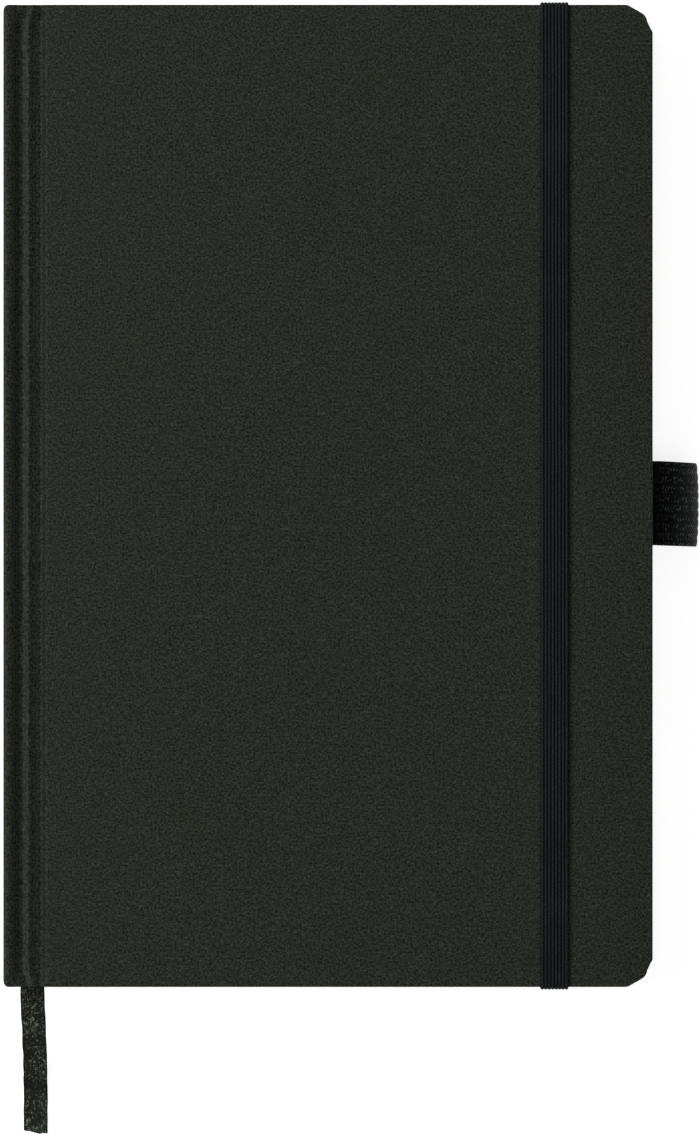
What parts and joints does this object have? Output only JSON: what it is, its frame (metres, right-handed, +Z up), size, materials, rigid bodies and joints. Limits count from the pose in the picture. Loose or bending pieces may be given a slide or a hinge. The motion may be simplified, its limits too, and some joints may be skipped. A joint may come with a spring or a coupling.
{
  "type": "notebook",
  "caption": "Hardcover case-bound notebook with elastic band closure, pen loop and ribbon marker; cover and front leaves open flat.",
  "frame": {"origin": "on the table under the middle of the closed notebook's footprint, pen loop included and ribbon tail left out", "axes": "+X from the spine to the fore edge, +Y to the head, +Z up to the front cover"},
  "size_m": [0.1498, 0.2452, 0.0172],
  "materials": {
    "cover_paper": "uncoated dark olive cover paper with a fine mottled fibre",
    "greyboard": "dense grey binder's board",
    "page_paper": "ivory writing paper",
    "endpaper": "heavier ivory endpaper",
    "mull": "open-weave starched gauze",
    "thread": "waxed sewing thread",
    "elastic": "black braided elastic in eight cords",
    "loop_webbing": "black woven elastic webbing with herringbone ribs",
    "ribbon": "dark olive satin ribbon, cut end"
  },
  "bodies": {
    "back_cover": {"back_wrap": "cover_paper", "back_board": "greyboard", "back_pastedown": "endpaper", "back_flyleaf": "endpaper", "section_07": "page_paper", "section_08": "page_paper", "section_09": "page_paper", "section_10": "page_paper", "section_11": "page_paper", "section_12": "page_paper", "spine_lining": "page_paper", "spine_mull": "mull", "sewing_thread_1": "thread", "sewing_thread_2": "thread", "sewing_thread_3": "thread", "sewing_thread_4": "thread", "ribbon_marker": "ribbon", "ribbon_tail": "ribbon", "pen_loop": "loop_webbing", "back_joint": "cover_paper", "elastic_head_turn": "elastic", "elastic_tail_turn": "elastic"},
    "spine": {"spine_wrap": "cover_paper", "spine_board": "greyboard", "front_joint": "cover_paper"},
    "front_cover": {"front_wrap": "cover_paper", "front_board": "greyboard", "front_pastedown": "endpaper"},
    "front_leaves": {"front_flyleaf": "endpaper", "section_01": "page_paper", "section_02": "page_paper", "section_03": "page_paper", "section_04": "page_paper", "section_05": "page_paper", "section_06": "page_paper"},
    "closure": {"elastic_strand": "elastic"}
  },
  "joints": [
    {"name": "spine_fold", "type": "hinge", "parent": "back_cover", "child": "spine", "pos_m": [-0.07485, 0, 0], "axis": [0, -1, 0], "range_deg": [0, 90], "deforming": ["back_joint"]},
    {"name": "front_cover_hinge", "type": "hinge", "parent": "spine", "child": "front_cover", "pos_m": [-0.07485, 0, 0.01605], "axis": [0, -1, 0], "range_deg": [0, 90], "deforming": ["front_joint"]},
    {"name": "leaves_turn", "type": "hinge", "parent": "back_cover", "child": "front_leaves", "pos_m": [-0.07295, 0, 0.00802], "axis": [0, -1, 0], "range_deg": [0, 180], "deforming": ["spine_mull", "spine_lining", "sewing_thread_1", "sewing_thread_2", "sewing_thread_3", "sewing_thread_4"]},
    {"name": "closure_release", "type": "hinge", "parent": "back_cover", "child": "closure", "pos_m": [0.04415, 0, 0.00802], "axis": [0, 1, 0], "range_deg": [0, 180], "deforming": ["elastic_strand", "elastic_head_turn", "elastic_tail_turn"]}
  ],
  "couplings": [
    {"joint": "spine_fold", "follows": "front_cover_hinge", "ratio": 1},
    {"joint": "leaves_turn", "follows": "front_cover_hinge", "ratio": 2},
    {"joint": "closure_release", "follows": "front_cover_hinge", "ratio": 2}
  ]
}
